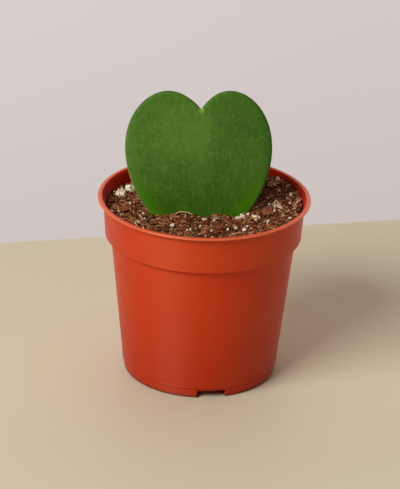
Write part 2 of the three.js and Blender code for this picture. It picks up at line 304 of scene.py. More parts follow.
# Stage, with the camera fitted to the photograph's ellipses of lip, collar and foot
TABLE_EDGE_LEFT = (-111.9, 139.3)
TABLE_EDGE_RIGHT = (112.2, 188.5)
TABLE_TOP = -0.05
TABLE_THICKNESS = 20
TABLE_HALF_LENGTH = 1500.0
TABLE_DEPTH = 2200.0
CAMERA_PLACE = Vector((-1.39, -1169.9, 593.6))
CAMERA_TILT = 24.29
CAMERA_ROLL = 1.74
CAMERA_LENS = 191.4
CAMERA_SENSOR = 36
CAMERA_NEAREST = 10
BACKDROP_LOW_BAND = (-0.46, -0.30)
BACKDROP_RIGHT_BAND = (-0.1, 0.1)
HORIZON_BAND = (0.0, 0.12)
SKY_LEAN = (0.21, 0.0, 0.0)
SKY_WARMTH = (1.0, 0.88, 0.79, 1.0)
GLOW_LEVEL = 1.06
GLOW_WIDTH = (0.2, 0.9)
GLOW_START = (0.11, 0.24)
CEILING_LEVEL = 0.64
CEILING_REACH = (0.80, 0.96)

# Key light, in metres and watts
KEY_PLACE = (-1.404, -1.454, 1.70)
KEY_AIM = Vector((0, 0, 0.08))
KEY_SIZE = (1.5, 1.0)
KEY_POWER = 56.0
KEY_COLOUR = (0.97, 0.99, 1.0)


# Objects
def new_object(name, vertices, faces, smooth=True):
    """A mesh object whose vertices are given in millimetres."""
    mesh = bpy.data.meshes.new(name)
    mesh.from_pydata([mm(Vector(v)) for v in vertices], [], faces)
    mesh.validate()
    mesh.shade_smooth() if smooth else mesh.shade_flat()
    return linked(name, mesh)


def linked(name, data):
    """An object in the scene for a mesh, a light or a camera."""
    obj = bpy.data.objects.new(name, data)
    bpy.context.scene.collection.objects.link(obj)
    return obj


def store(obj, name, values):
    """Keeps one number for each vertex, which node trees can read."""
    attribute = obj.data.attributes.new(name, "FLOAT", "POINT")
    attribute.data.foreach_set("value", values)


def evaluated_mesh(obj):
    """A mesh of its own from what an object's modifiers give."""
    depsgraph = bpy.context.evaluated_depsgraph_get()
    return bpy.data.meshes.new_from_object(obj.evaluated_get(depsgraph))


def cut(obj, cutter, operation="DIFFERENCE"):
    """Cuts one closed mesh by another, or joins them, and removes the other one."""
    boolean = obj.modifiers.new("cut", "BOOLEAN")
    boolean.operation = operation
    boolean.object = cutter
    boolean.solver = "MANIFOLD"
    result = evaluated_mesh(obj)
    obj.modifiers.clear()
    old = obj.data
    obj.data = result
    result.name = obj.name
    bpy.data.meshes.remove(old)
    bpy.data.objects.remove(cutter)


def finish_piece(obj, node, material):
    """Gives a piece its finish and its body, and hides the CAD node that it stands for."""
    obj.data.materials.clear()
    obj.data.materials.append(material)
    obj.data.polygons.foreach_set("material_index", [0] * len(obj.data.polygons))
    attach(obj, "root")
    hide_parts(node)


# Profiles and turned shapes
def turns(count):
    """Angles that divide a whole turn evenly."""
    return [2 * math.pi * i / count for i in range(count)]


def front_and_back(shares):
    """Rings of a flat body from the middle of its front (-1) round its edge (0) to its back (1)."""
    return [(share, -1) for share in shares] + [(1.0, 0)] + [(share, 1) for share in reversed(shares)]


def ring_faces(first, sides, rings, flip=False):
    """The faces of a closed body of rings between two end points, whose first vertex is given."""
    last = first + 1 + sides * rings
    faces = []
    for i in range(sides):
        j = (i + 1) % sides
        faces.append((first, first + 1 + j, first + 1 + i))
        for low in range(first + 1, last - sides, sides):
            high = low + sides
            faces.append((low + i, low + j, high + j, high + i))
        faces.append((last - sides + i, last - sides + j, last))
    return [(face[0], *face[:0:-1]) for face in faces] if flip else faces


def rounded(corners, steps=5):
    """A profile of (radius, z) points whose corners (radius, z, fillet) are rounded by arcs."""
    points = []
    last = len(corners) - 1
    for i, (radius, z, fillet) in enumerate(corners):
        here = Vector((radius, z))
        if fillet == 0 or i in (0, last):
            points.append(here)
            continue
        before = (Vector(corners[i - 1][:2]) - here).normalized()
        after = (Vector(corners[i + 1][:2]) - here).normalized()
        half = before.angle(after) / 2
        reach = fillet / math.tan(half)
        centre = here + (before + after).normalized() * (fillet / math.sin(half))
        start = here + before * reach - centre
        end = here + after * reach - centre
        turn = start.angle_signed(end)
        for k in range(steps + 1):
            angle = -turn * k / steps
            x = start.x * math.cos(angle) - start.y * math.sin(angle)
            y = start.x * math.sin(angle) + start.y * math.cos(angle)
            points.append(centre + Vector((x, y)))
    return points


def turned(name, profile, sides):
    """A closed solid turned round Z from a profile that starts and ends on the axis."""
    vertices = [(0, 0, profile[0].y)]
    for radius, z in profile[1:-1]:
        vertices += [(radius * math.cos(angle), radius * math.sin(angle), z) for angle in turns(sides)]
    vertices.append((0, 0, profile[-1].y))
    return new_object(name, vertices, ring_faces(0, sides, len(profile) - 2))


def inner_radius(z):
    """The pot's inner wall radius at a height."""
    if z > COLLAR_FOOT_Z + WALL:
        share = (z - COLLAR_FOOT_Z) / (POT_HEIGHT - COLLAR_FOOT_Z)
        return COLLAR_FOOT_RADIUS + (COLLAR_TOP_RADIUS - COLLAR_FOOT_RADIUS) * share - WALL
    share = (z - FOOT_RING_HEIGHT) / (COLLAR_FOOT_Z - FOOT_RING_HEIGHT)
    return BODY_FOOT_RADIUS + (BODY_TOP_RADIUS - BODY_FOOT_RADIUS) * share - WALL


def pot_profile():
    """The pot's profile, from the middle of its underside over the lip to the middle of its floor."""
    top = POT_HEIGHT
    step_z = COLLAR_FOOT_Z + WALL
    return rounded([
        (0, BASE_PLATE_Z, 0),
        (FOOT_RING_RADIUS - FOOT_RING_WALL - 0.1, BASE_PLATE_Z, 0.5),
        (FOOT_RING_RADIUS - FOOT_RING_WALL, 0, 0.4),
        (FOOT_RING_RADIUS, 0, 1.1),
        (FOOT_RING_TOP_RADIUS, FOOT_RING_HEIGHT, 0.15),
        (BODY_FOOT_RADIUS + PARTING_BEAD, FOOT_RING_HEIGHT + 0.1, 0.12),
        (BODY_FOOT_RADIUS + PARTING_BEAD, FOOT_RING_HEIGHT + 0.4, 0.12),
        (BODY_FOOT_RADIUS + 0.06, FOOT_RING_HEIGHT + 0.6, 0.2),
        (BODY_TOP_RADIUS, COLLAR_FOOT_Z - 0.1, 0.5),
        (COLLAR_FOOT_RADIUS, COLLAR_FOOT_Z, 0.45),
        (COLLAR_TOP_RADIUS, top - LIP_THICKNESS - 0.1, 1.7),
        (LIP_RADIUS, top - LIP_THICKNESS, 0.3),
        (LIP_RADIUS, top - 0.08, 0.5),
        (LIP_INNER_RADIUS, top, 0.18),
        (LIP_INNER_RADIUS - 0.9, top - 1.5, 0.8),
        (LIP_INNER_RADIUS - 1.55, top - 4.9, 0.5),
        (inner_radius(step_z + 0.4), step_z, 0.8),
        (inner_radius(step_z), step_z - 0.1, 0.8),
        (inner_radius(FLOOR_Z), FLOOR_Z, 1.6),
        (0, FLOOR_Z, 0),
    ])


def mark_pot(pot, profile):
    """Stores which points are on the pot's inside, and which on the thin edge of its lip, where a highlight
    is painted.
    """
    lip = next(i for i, p in enumerate(profile) if p.y > POT_HEIGHT - 0.5 and p.x < LIP_INNER_RADIUS)
    edge_z = POT_HEIGHT - LIP_THICKNESS + 0.1
    inside = [float(i >= lip) for i in range(len(profile))]
    edge = [float(p.x > LIP_RADIUS - LIP_EDGE_WIDTH and p.y > edge_z) for p in profile]
    for name, shares in (("inside", inside), ("lip_edge_highlight", edge)):
        rings = [share for share in shares[1:-1] for _ in range(POT_SIDES)]
        store(pot, name, [shares[0], *rings, shares[-1]])


def make_pot():
    """The moulded pot, with its rounded edges, drain notches and drain holes."""
    profile = pot_profile()
    pot = turned("pot_moulded_shell", profile, POT_SIDES)
    mark_pot(pot, profile)
    for turn in turns(NOTCH_COUNT):
        cut(pot, notch_cutter(math.radians(NOTCH_ANGLE) + turn))
    cut(pot, drill(0, 0))
    for turn in turns(DRAIN_HOLE_COUNT):
        cut(pot, drill(DRAIN_CIRCLE_RADIUS * math.cos(turn), DRAIN_CIRCLE_RADIUS * math.sin(turn)))
    pot.data.shade_smooth()
    return pot


def notch_cutter(angle):
    """A block with rounded top corners that cuts one drain notch in the foot ring."""
    half = NOTCH_WIDTH / 2
    arc_x, arc_z = half - NOTCH_CORNER, NOTCH_HEIGHT - NOTCH_CORNER
    outline = [(-half, -1.0), (half, -1.0), (half, arc_z)]
    for turn in NOTCH_CORNER_TURNS:
        outline.append((arc_x + NOTCH_CORNER * math.cos(turn), arc_z + NOTCH_CORNER * math.sin(turn)))
    outline.append((arc_x, NOTCH_HEIGHT))
    outline += [(-x, z) for x, z in reversed(outline[2:])]
    near = -(FOOT_RING_RADIUS + 2)
    far = -(FOOT_RING_RADIUS - FOOT_RING_WALL - 1.5)
    round_pot = Matrix.Rotation(angle, 3, "Z")
    return prism("notch_cutter", [round_pot @ Vector((x, y, z)) for y in (near, far) for x, z in outline])


def drill(x, y):
    """A round rod through the base plate."""
    ring = [
        (x + DRAIN_HOLE_RADIUS * math.cos(turn), y + DRAIN_HOLE_RADIUS * math.sin(turn))
        for turn in turns(DRAIN_HOLE_SIDES)
    ]
    return prism("drill", [(px, py, z) for z in (BASE_PLATE_Z - 1, FLOOR_Z + 1) for px, py in ring])


def prism(name, vertices):
    """A closed cutting mesh between an outline and its copy, with its faces turned outwards."""
    count = len(vertices) // 2
    faces = [tuple(range(count)), tuple(reversed(range(count, 2 * count)))]
    faces += [(i, count + i, count + (i + 1) % count, (i + 1) % count) for i in range(count)]
    cutter = new_object(name, vertices, faces, smooth=False)
    shape = bmesh.new()
    shape.from_mesh(cutter.data)
    bmesh.ops.recalc_face_normals(shape, faces=shape.faces)
    shape.to_mesh(cutter.data)
    shape.free()
    return cutter


# Leaf
def bezier(p0, p1, p2, p3):
    """Points along a cubic curve, without its last one."""
    points = []
    for i in range(CURVE_STEPS):
        t = i / CURVE_STEPS
        s = 1 - t
        points.append(p0 * s ** 3 + p1 * 3 * s * s * t + p2 * 3 * s * t * t + p3 * t ** 3)
    return points


def heart_side(side):
    """One side of the heart, from the notch over the lobe and down to the base."""
    half = LEAF_HALF_WIDTH[side]
    lobe = Vector((side * LOBE_TOP_OFFSET, LOBE_TOP_HEIGHT))
    widest = Vector((side * half, LEAF_WIDEST_HEIGHT))
    base = Vector((side * LEAF_BASE_HALF_WIDTH, -LEAF_BURIED_DEPTH))
    after_notch = NOTCH_POINT + Vector((side * NOTCH_HANDLE[0], NOTCH_HANDLE[1]))
    before_lobe = lobe - Vector((side * LOBE_HANDLES[0], 0))
    after_lobe = lobe + Vector((side * LOBE_HANDLES[1], 0))
    before_widest = widest + Vector((0, WIDEST_HANDLES[0]))
    after_widest = widest - Vector((0, WIDEST_HANDLES[1]))
    before_base = Vector((side * (half - BASE_HANDLE[0]), BASE_HANDLE[1]))
    points = bezier(NOTCH_POINT, after_notch, before_lobe, lobe)
    points += bezier(lobe, after_lobe, before_widest, widest)
    points += bezier(widest, after_widest, before_base, base)
    points.append(base)
    return points


def evenly_spaced(points, count):
    """count points at equal distances along a fine polyline, both ends included."""
    lengths = [0.0]
    for a, b in zip(points, points[1:]):
        lengths.append(lengths[-1] + (b - a).length)
    spaced = []
    k = 0
    for i in range(count):
        wanted = lengths[-1] * i / (count - 1)
        while k < len(points) - 2 and lengths[k + 1] < wanted:
            k += 1
        span = lengths[k + 1] - lengths[k]
        spaced.append(points[k].lerp(points[k + 1], (wanted - lengths[k]) / span))
    return spaced


def heart_outline():
    """Points round the heart, anticlockwise from the notch as seen from the front."""
    half = LEAF_SIDES // 2
    left = evenly_spaced(heart_side(-1), half)
    right = evenly_spaced(heart_side(1), half + 1)
    return left + list(reversed(right[1:]))


def leaf_point(across, back, along):
    """A point on the leaf's own axes, across, towards the back and along, in the pot's frame."""
    return LEAF_TURN @ Vector((across, back, along)) + LEAF_PLACE


def blade_half_thickness(share):
    """Half the blade's thickness at a share of the way from its middle to its margin."""
    body = LEAF_THICKNESS / 2 * (1 - LEAF_THINNING * share * share)
    if share <= MARGIN_START:
        return body
    run = min(1.0, (share - MARGIN_START) / (1 - MARGIN_START))
    return body * math.sqrt(max(0.0, 1 - run ** MARGIN_ROUNDNESS))


def blade_point(across, along, share, face, grow):
    """A point on the blade's front (-1), edge (0) or back (1), at a share of the way to its margin."""
    groove = GROOVE_DEPTH * math.exp(-((across - GROOVE_PLACE) / GROOVE_WIDTH) ** 2) * (1 - share * share)
    depth = blade_half_thickness(share) + (groove if face > 0 else -GROOVE_IN_FRONT * groove)
    bend = LEAF_RECURVE * (across / LEAF_HALF_WIDTH[-1]) ** 2
    wave = sum(
        size * noise.noise(Vector((across * fineness, along * fineness, seed)))
        for size, fineness, seed in BLADE_WAVES
    )
    return leaf_point(across, bend + wave + face * (depth + grow), along)


def make_leaf(grow=0.0):
    """The blade and its stalk as one closed mesh, widened all round by grow."""
    outline = heart_outline()
    middle = Vector((0, LEAF_WIDEST_HEIGHT - LEAF_MIDDLE_BELOW_WIDEST))
    shares = [BLADE_RING_STEP * k for k in range(1, BLADE_RINGS)]
    for k in range(1, MARGIN_RINGS):
        shares.append(MARGIN_START + (1 - MARGIN_START) * math.sin(math.pi / 2 * k / MARGIN_RINGS))
    rings = front_and_back(shares)
    spots = [(middle.x, middle.y, 0.0, -1)]
    for share, face in rings:
        for edge in outline:
            outwards = (edge - middle).normalized() * (grow * share)
            point = middle.lerp(edge, share) + outwards
            spots.append((point.x, point.y, share, face))
    spots.append((middle.x, middle.y, 0.0, 1))
    faces = ring_faces(0, len(outline), len(rings), flip=True)
    leaf = new_object("leaf_blade_and_stalk", [blade_point(*spot, grow) for spot in spots], faces)
    for k, name in enumerate(("across", "along", "share")):
        store(leaf, name, [spot[k] for spot in spots])
    cut(leaf, make_stalk(grow), "UNION")
    return leaf


def make_stalk(grow):
    """The short leaf stalk in the soil, turned from the blade's base to its cut end."""
    profile = rounded([
        (0, STALK_END - grow, 0),
        (STALK_END_RADIUS + grow, STALK_END - grow, 0.5),
        (STALK_RADIUS + grow, STALK_TOP - 6, 2),
        (STALK_RADIUS * 0.8 + grow, STALK_TOP, 0.4),
        (0, STALK_TOP + 2, 0),
    ])
    stalk = turned("stalk", profile, STALK_SIDES)
    for vertex in stalk.data.vertices:
        vertex.co = mm(leaf_point(*(vertex.co * 1000)))
    for name, value in (("across", 0.0), ("along", STALK_TOP), ("share", 0.2)):
        store(stalk, name, [value] * len(stalk.data.vertices))
    return stalk


# Soil
def soil_height(x, y):
    """Height of the soil's surface: a slight tilt, soft hollows and mounds, and lumps against the leaf."""
    across = math.sin(x * SWELL_WAVES[0] + SWELL_SHIFT[0])
    swell = SWELL_HEIGHT * across * math.cos(y * SWELL_WAVES[1] - SWELL_SHIFT[1])
    slant = x * SLANT_SWELL_WAVES[0] - y * SLANT_SWELL_WAVES[1] + SLANT_SWELL_SHIFT
    swell += SLANT_SWELL_HEIGHT * math.sin(slant)
    rise = SOIL_RISE_AT_WALL * (math.hypot(x, y) / SOIL_EDGE_RADIUS) ** 5
    height = SOIL_LEVEL + SOIL_TILT * x + rise + swell
    for mound_x, mound_y, reach, top in SOIL_MOUNDS:
        height += top * math.exp(-((x - mound_x) ** 2 + (y - mound_y) ** 2) / (reach * reach))
    return height


def crumb_relief(x, y):
    """The crumbs of the bed itself, in millimetres above or below the soft relief."""
    def relief_at(waves, layer):
        return Vector((x * waves, y * waves, layer))

    coarse = noise.turbulence(relief_at(COARSE_WAVES, 1.0), 3, False)
    pits = noise.voronoi(relief_at(PIT_WAVES, 4.0))[0][0]
    fine = noise.noise(relief_at(FINE_WAVES, 8.0))
    return COARSE_RELIEF * (coarse - 0.5) - PIT_RELIEF * min(pits, DEEPEST_PIT) + FINE_RELIEF * fine


def disc_point(a, b):
    """Maps a point of the square from -1 to 1 to the unit disc, ring for ring."""
    if a == 0 and b == 0:
        return 0.0, 0.0
    if abs(a) > abs(b):
        radius, angle = a, math.pi / 4 * b / a
    else:
        radius, angle = b, math.pi / 2 - math.pi / 4 * a / b
    return radius * math.cos(angle), radius * math.sin(angle)


def bed_side_rings():
    """The rings (radius, height) down the side of the soil, from its top to its floor."""
    step_z = COLLAR_FOOT_Z + WALL + SOIL_GAP
    under_top, half_way = SOIL_RING_HEIGHTS
    above_floor = FLOOR_Z + SOIL_GAP + 2.5
    return [
        (inner_radius(under_top) - SOIL_GAP, under_top),
        (inner_radius(step_z + 0.4) - 0.4, step_z + 0.1),
        (inner_radius(COLLAR_FOOT_Z) - SOIL_GAP, step_z),
        (inner_radius(half_way) - SOIL_GAP, half_way),
        (inner_radius(above_floor) - SOIL_GAP, above_floor),
        (inner_radius(FLOOR_Z + SOIL_GAP) - 1.1, FLOOR_Z + SOIL_GAP),
    ]


def make_soil_bed():
    """The soil as one closed body: a crumbly top, sides along the pot's inner wall, and its floor."""
    size = SOIL_GRID
    across = size + 1
    vertices = []
    relief = []
    for row in range(across):
        for column in range(across):
            u, v = disc_point(2 * column / size - 1, 2 * row / size - 1)
            x, y = u * SOIL_EDGE_RADIUS, v * SOIL_EDGE_RADIUS
            relief.append(crumb_relief(x, y))
            vertices.append((x, y, soil_height(x, y) + relief[-1]))
    faces = [
        (k, k + 1, k + across + 1, k + across)
        for row in range(size)
        for k in range(row * across, row * across + size)
    ]
    rim = list(range(size))
    rim += [size + row * across for row in range(size)]
    rim += [size * across + size - column for column in range(size)]
    rim += [(size - row) * across for row in range(size)]

    count = len(rim)
    above = rim
    for radius, z in bed_side_rings():
        below = list(range(len(vertices), len(vertices) + count))
        scale = radius / SOIL_EDGE_RADIUS
        vertices += [(vertices[k][0] * scale, vertices[k][1] * scale, z) for k in rim]
        faces += [
            (above[i], below[i], below[(i + 1) % count], above[(i + 1) % count]) for i in range(count)
        ]
        above = below
    vertices.append((0, 0, FLOOR_Z + SOIL_GAP))
    faces += [(above[i], len(vertices) - 1, above[(i + 1) % count]) for i in range(count)]
    bed = new_object("soil_bed", vertices, faces)
    store(bed, "relief", relief + [SOIL_BURIED_RELIEF] * (len(vertices) - len(relief)))
    return bed


def leaf_distance(x, y, z):
    """How far a point is in front of or behind the blade's face, or beside its edge, in millimetres."""
    local = LEAF_TURN.transposed() @ (Vector((x, y, z)) - LEAF_PLACE)
    side = max(0.0, abs(local.x) - LEAF_SOIL_HALF_WIDTH)
    depth = local.y - LEAF_RECURVE * (local.x / LEAF_HALF_WIDTH[-1]) ** 2
    return math.hypot(side, max(0.0, abs(depth) - LEAF_THICKNESS / 2))


def mark_room(bed):
    """Stores on the bed where loose grains may lie: on its top, clear of the pot and the leaf."""
    room = []
    for vertex in bed.data.vertices:
        x, y, z = vertex.co * 1000
        on_top = z > LOOSE_GRAINS_ABOVE and math.hypot(x, y) < SOIL_EDGE_RADIUS - WALL_CLEARANCE
        room.append(float(on_top and leaf_distance(x, y, z) > LEAF_CLEARANCE))
    store(bed, "room", room)


# Node trees
def node(tree, kind, inputs=None, output=0, **settings):
    """An output of a new node, with its settings, and its inputs given as values or as other outputs."""
    made = tree.nodes.new(kind)
    for name, value in settings.items():
        setattr(made, name, value)
    for key, value in (inputs or {}).items():
        if isinstance(value, bpy.types.NodeSocket):
            tree.links.new(value, made.inputs[key])
        else:
            made.inputs[key].default_value = value
    return made.outputs[output]


def joined(kind, inputs, output=0, **settings):
    """An output of a new node in the tree of the outputs that it takes."""
    tree = next(value.id_data for value in inputs.values() if isinstance(value, bpy.types.NodeSocket))
    return node(tree, kind, inputs, output, **settings)


def maths(operation, first, second=0.0):
    """The result of one sum on two numbers."""
    return joined("ShaderNodeMath", {0: first, 1: second}, operation=operation)


def product(first, *others):
    """Numbers multiplied together."""
    for other in others:
        first = maths("MULTIPLY", first, other)
    return first


def combined(x, y, z=0.0):
    """A vector of three numbers."""
    return joined("ShaderNodeCombineXYZ", {0: x, 1: y, 2: z})


def vector_maths(operation, first, second):
    """The result of one sum on two vectors."""
    return joined("ShaderNodeVectorMath", {0: first, 1: second}, operation=operation)


def length(vector):
    """The length of a vector."""
    return joined("ShaderNodeVectorMath", {0: vector}, "Value", operation="LENGTH")


def spread(value, low, high, to_low=0.0, to_high=1.0):
    """A number mapped smoothly from one range to another."""
    inputs = {"Value": value, "From Min": low, "From Max": high, "To Min": to_low, "To Max": to_high}
    return joined("ShaderNodeMapRange", inputs, interpolation_type="SMOOTHSTEP")


def blend(factor, first, second, way="MIX"):
    """Two colours mixed."""
    inputs = {"Factor": factor, 6: first, 7: second}
    return joined("ShaderNodeMix", inputs, 2, data_type="RGBA", blend_type=way, clamp_factor=True)


def layered(tone, layers):
    """A colour with others laid over it in turn, each of them given after its own share."""
    for share, colour in layers:
        tone = blend(share, tone, colour)
    return tone


def colours(value, stops):
    """Colours picked by a number, through (place, colour) stops."""
    made = joined("ShaderNodeValToRGB", {"Fac": value}, "Color")
    ramp = made.node.color_ramp
    for element, (place, colour) in zip(list(ramp.elements), (stops[0], stops[-1])):
        element.position = place
        element.color = colour
    for place, colour in stops[1:-1]:
        ramp.elements.new(place).color = colour
    return made


def object_place(tree):
    """Where a point is on the object, in metres."""
    return node(tree, "ShaderNodeTexCoord", output="Object")


def speckle(tree, scale, detail=2.0, roughness=0.5, stretch=None):
    """Noise in the object's own coordinates, from 0 to 1; scale counts its lumps in a metre."""
    place = object_place(tree)
    if stretch:
        place = vector_maths("MULTIPLY", place, stretch)
    inputs = {"Vector": place, "Scale": scale, "Detail": detail, "Roughness": roughness}
    return joined("ShaderNodeTexNoise", inputs)


def kept_number(tree, name):
    """A number that the mesh keeps for each point."""
    return node(tree, "ShaderNodeAttribute", output="Fac", attribute_name=name)


def bump(height, distance, strength, below=None):
    """A relief in the shading; distance is its depth in millimetres."""
    inputs = {"Height": height, "Distance": mm(distance), "Strength": strength}
    if below is not None:
        inputs["Normal"] = below
    return joined("ShaderNodeBump", inputs)


def new_finish(name, **numbers):
    """A material with one Principled surface, whose uniform numbers are set on its own sockets."""
    material = bpy.data.materials.new(name)
    material.use_nodes = True
    tree = material.node_tree
    for key, value in numbers.items():
        tree.nodes["Principled BSDF"].inputs[key.replace("_", " ")].default_value = value
    return material, tree


def finished(material, **results):
    """Links results to the sockets of a material's surface, and gives the material back."""
    tree = material.node_tree
    for key, result in results.items():
        tree.links.new(result, tree.nodes["Principled BSDF"].inputs[key.replace("_", " ")])
    return material


# Finishes
def pot_plastic():
    """Orange-red moulded plastic: satin, with the very fine turned lines that its mould leaves round it."""
    material, tree = new_finish(
        "orange_red_plastic", IOR=1.49, Specular_Tint=WARM_GLOSS, Anisotropic=0.9,
        Anisotropic_Rotation=0.25,
    )
    height = joined("ShaderNodeSeparateXYZ", {0: object_place(tree)}, "Z")
    inside = kept_number(tree, "inside")
    scuff = speckle(tree, 420, 4, 0.7, (1, 1, 0.25))
    dust = spread(speckle(tree, 900, 4, 0.7), 0.35, 0.7, 0.75, 1.0)
    tone = layered(POT_RED_DEEP, [
        (spread(speckle(tree, 26, 3), 0.3, 0.7), POT_RED),
        (spread(scuff, 0.62, 0.78, 0, 0.10), POT_RED_PALE_AND_PAINTED_LIGHT),
        # Painted shade: the body darkens towards the foot.
        (spread(height, mm(60), mm(2), 0, 0.8), POT_RED_PAINTED_LOW_SHADE),
        # Painted light: the collar is paler than the body below it.
        (spread(height, mm(70), mm(74), 0, 0.16), POT_RED_PALE_AND_PAINTED_LIGHT),
        # Painted shade: the lowest edge of the foot darkens where it meets the table.
        (spread(height, mm(2.2), mm(0.2), 0, 0.7), POT_FOOT_PAINTED_SHADE),
        # Painted highlight: the lip's thin outer edge is paler.
        (product(kept_number(tree, "lip_edge_highlight"), 0.6), POT_RED_PAINTED_LIP_HIGHLIGHT),
        # The inside is a darker, deeper red, mottled: partly soil dust, partly painted shade of the pot's
        # hollow.
        (product(inside, dust), POT_RED_INSIDE_DUST_AND_PAINTED_SHADE),
    ])
    satin = spread(speckle(tree, 90, 4), 0.3, 0.7, 0.42, 0.49)
    grain = bump(speckle(tree, 2600, 2), 0.05, 0.25)
    return finished(
        material, Base_Color=tone,
        Roughness=maths("ADD", satin, product(inside, 0.42)),
        Specular_IOR_Level=spread(inside, 0, 1, 0.46, 0.12),
        Normal=bump(speckle(tree, 45, 1, 0.4, (1, 1, 1.6)), 0.12, 0.3, grain),
    )


def blade_distance(across, along, spot):
    """How far a point of the blade is from a spot on it, in millimetres."""
    return length(vector_maths("SUBTRACT", combined(across, along), (spot.x, spot.y, 0)))


def leaf_mottle(tree):
    """The fine pattern of the leaf's skin, as layers of a share and a colour."""
    cloud = speckle(tree, 150, 4, 0.7, (1.2, 1, 0.9))
    streaks = speckle(tree, 380, 3, 0.7, (1.25, 1, 0.6))
    return [
        (spread(speckle(tree, 55, 3, 0.55), 0.32, 0.68), LEAF_GREEN),
        (spread(cloud, 0.4, 0.62, 0, 0.8), LEAF_GREEN_GREY),
        (spread(speckle(tree, 560, 4, 0.75), 0.38, 0.66, 0, 0.7), LEAF_GREEN_GREY),
        (spread(streaks, 0.46, 0.7, 0, 0.75), LEAF_GREEN_PALE_AND_PAINTED_LIGHT),
        (spread(speckle(tree, 700, 3, 0.6), 0.48, 0.66, 0, 0.65), LEAF_GREEN_DARK_AND_PAINTED_SHADE),
    ]


def leaf_shades(across, along):
    """The broad paler and darker parts of the blade, as layers of a share and a colour: a paler midrib, a
    painted sheen left of the middle, and painted shade towards the base and over the right lobe.
    """
    beside_rib = maths("ABSOLUTE", maths("SUBTRACT", across, 0.4))
    rib = spread(beside_rib, 0.2, 7.5, 1, 0)
    # Painted sheen: a broad paler patch left of the blade's middle.
    pale = spread(blade_distance(across, along, PAINTED_SHEEN_MIDDLE), 24, 4, 0, 0.4)
    # Painted shade: the blade darkens towards its base.
    low = spread(along, 42, 2, 0, 0.25)
    # Painted shade: the right lobe is darker, most near its top.
    right = product(spread(across, 2, 22, 0, 0.5), spread(along, 33, 52, 0.12, 1))
    return [
        (product(rib, spread(along, 0, 34, 0.05, 0.30)), LEAF_GREEN_PALE_AND_PAINTED_LIGHT),
        (pale, LEAF_GREEN_PALE_AND_PAINTED_LIGHT),
        (maths("MAXIMUM", low, right), LEAF_GREEN_DARK_AND_PAINTED_SHADE),
    ]


def leaf_margins(tree, across, along, share):
    """The greener margins and corners, the buried base, and painted light and shade: a paler left and darker
    right margin, a pale notch and thin rim, and a dark upper edge; as layers in the same way.
    """
    wobble = spread(speckle(tree, 130, 2), 0.3, 0.7, -0.04, 0.04)
    uneven = maths("ADD", share, wobble)
    margin = product(
        spread(uneven, 0.76, 1.0), spread(along, 50, 12, 0.35, 0.9),
        spread(across, -36, -12, 0.6, 1),
    )
    corner = product(spread(uneven, 0.7, 0.97, 0, 0.9), spread(along, 26, 4))
    from_notch = blade_distance(across, along, NOTCH_POINT)
    edge = spread(share, 0.982, 0.996)
    # Painted shade: a dark line along the upper edges of the lobes, away from the notch.
    painted_edge_shade = product(edge, spread(along, 14, 34, 0, 0.55), spread(from_notch, 3, 9))
    # Painted light: a thin pale rim along the lower left edge.
    painted_rim_light = product(edge, spread(along, 34, 14, 0, 0.8), spread(across, 5, -15))
    return [
        (margin, LEAF_MARGIN_GREEN),
        # Painted light: the left margin is paler.
        (spread(across, -27, -36, 0, 0.4), LEAF_GREEN_PALE_AND_PAINTED_LIGHT),
        # Painted shade: the right margin is darker.
        (spread(across, 25, 35, 0, 0.5), LEAF_GREEN_DARK_AND_PAINTED_SHADE),
        (corner, LEAF_CORNER_GREEN),
        # Painted light: the notch's edge is pale, as if lit.
        (spread(from_notch, 2.4, 0.3, 0, 0.7), LEAF_NOTCH_PAINTED_LIGHT),
        (painted_edge_shade, LEAF_EDGE_PAINTED_SHADE),
        (painted_rim_light, LEAF_RIM_PAINTED_LIGHT),
        (spread(along, -8, -24, 0, 0.8), STALK_GREEN),
    ]


def leaf_skin():
    """Thick waxy leaf: mottled mid green, more saturated towards its margin, with painted light and shade: a
    thin pale rim, a pale notch, a dark upper edge and a sheen.
    """
    material, tree = new_finish("waxy_leaf_skin", IOR=1.45, Specular_IOR_Level=0.42)
    across, along, share = (kept_number(tree, name) for name in ("across", "along", "share"))
    layers = leaf_mottle(tree) + leaf_shades(across, along) + leaf_margins(tree, across, along, share)
    wax = spread(speckle(tree, 240, 4, 0.6), 0.3, 0.7, 0.32, 0.44)
    pores = bump(speckle(tree, 1700, 3, 0.6), 0.06, 0.35)
    return finished(
        material, Base_Color=layered(LEAF_GREEN_DEEP, layers),
        Roughness=maths("ADD", wax, spread(share, 0.90, 0.97, 0, 0.4)),
        Normal=bump(speckle(tree, 330, 2), 0.16, 0.35, pores),
    )


def peat_bed():
    """The fine peat between the crumbs: dark in the pits as painted shade, and browner on the heights."""
    material, tree = new_finish("fine_peat", Roughness=0.95, Specular_IOR_Level=0.2)
    grain = speckle(tree, 1500, 4, 0.7)
    # Painted shade: the lower the relief, the darker the peat.
    height = spread(kept_number(tree, "relief"), -0.9, 0.5)
    tone = product(height, spread(grain, 0.3, 0.72, 0.1, 0.75))
    return finished(material, Base_Color=colours(tone, PEAT_BROWNS), Normal=bump(grain, 0.5, 0.9))


def loose_crumb(name, darkest, lightest, redness):
    """Peat and bark crumbs, each of its own brown, flecked and matt."""
    material, tree = new_finish(name, Roughness=0.9, Specular_IOR_Level=0.25)
    skewed = maths("POWER", kept_number(tree, "tone"), 1.6)
    fleck = spread(speckle(tree, 1500, 4, 0.8), 0.3, 0.7, -0.26, 0.26)
    tone = maths("ADD", spread(skewed, 0, 1, darkest, lightest), fleck)
    return finished(
        material, Base_Color=blend(redness, colours(tone, PEAT_BROWNS), CRUMB_RED),
        Normal=bump(speckle(tree, 2300, 3, 0.7), 0.25, 0.8),
    )


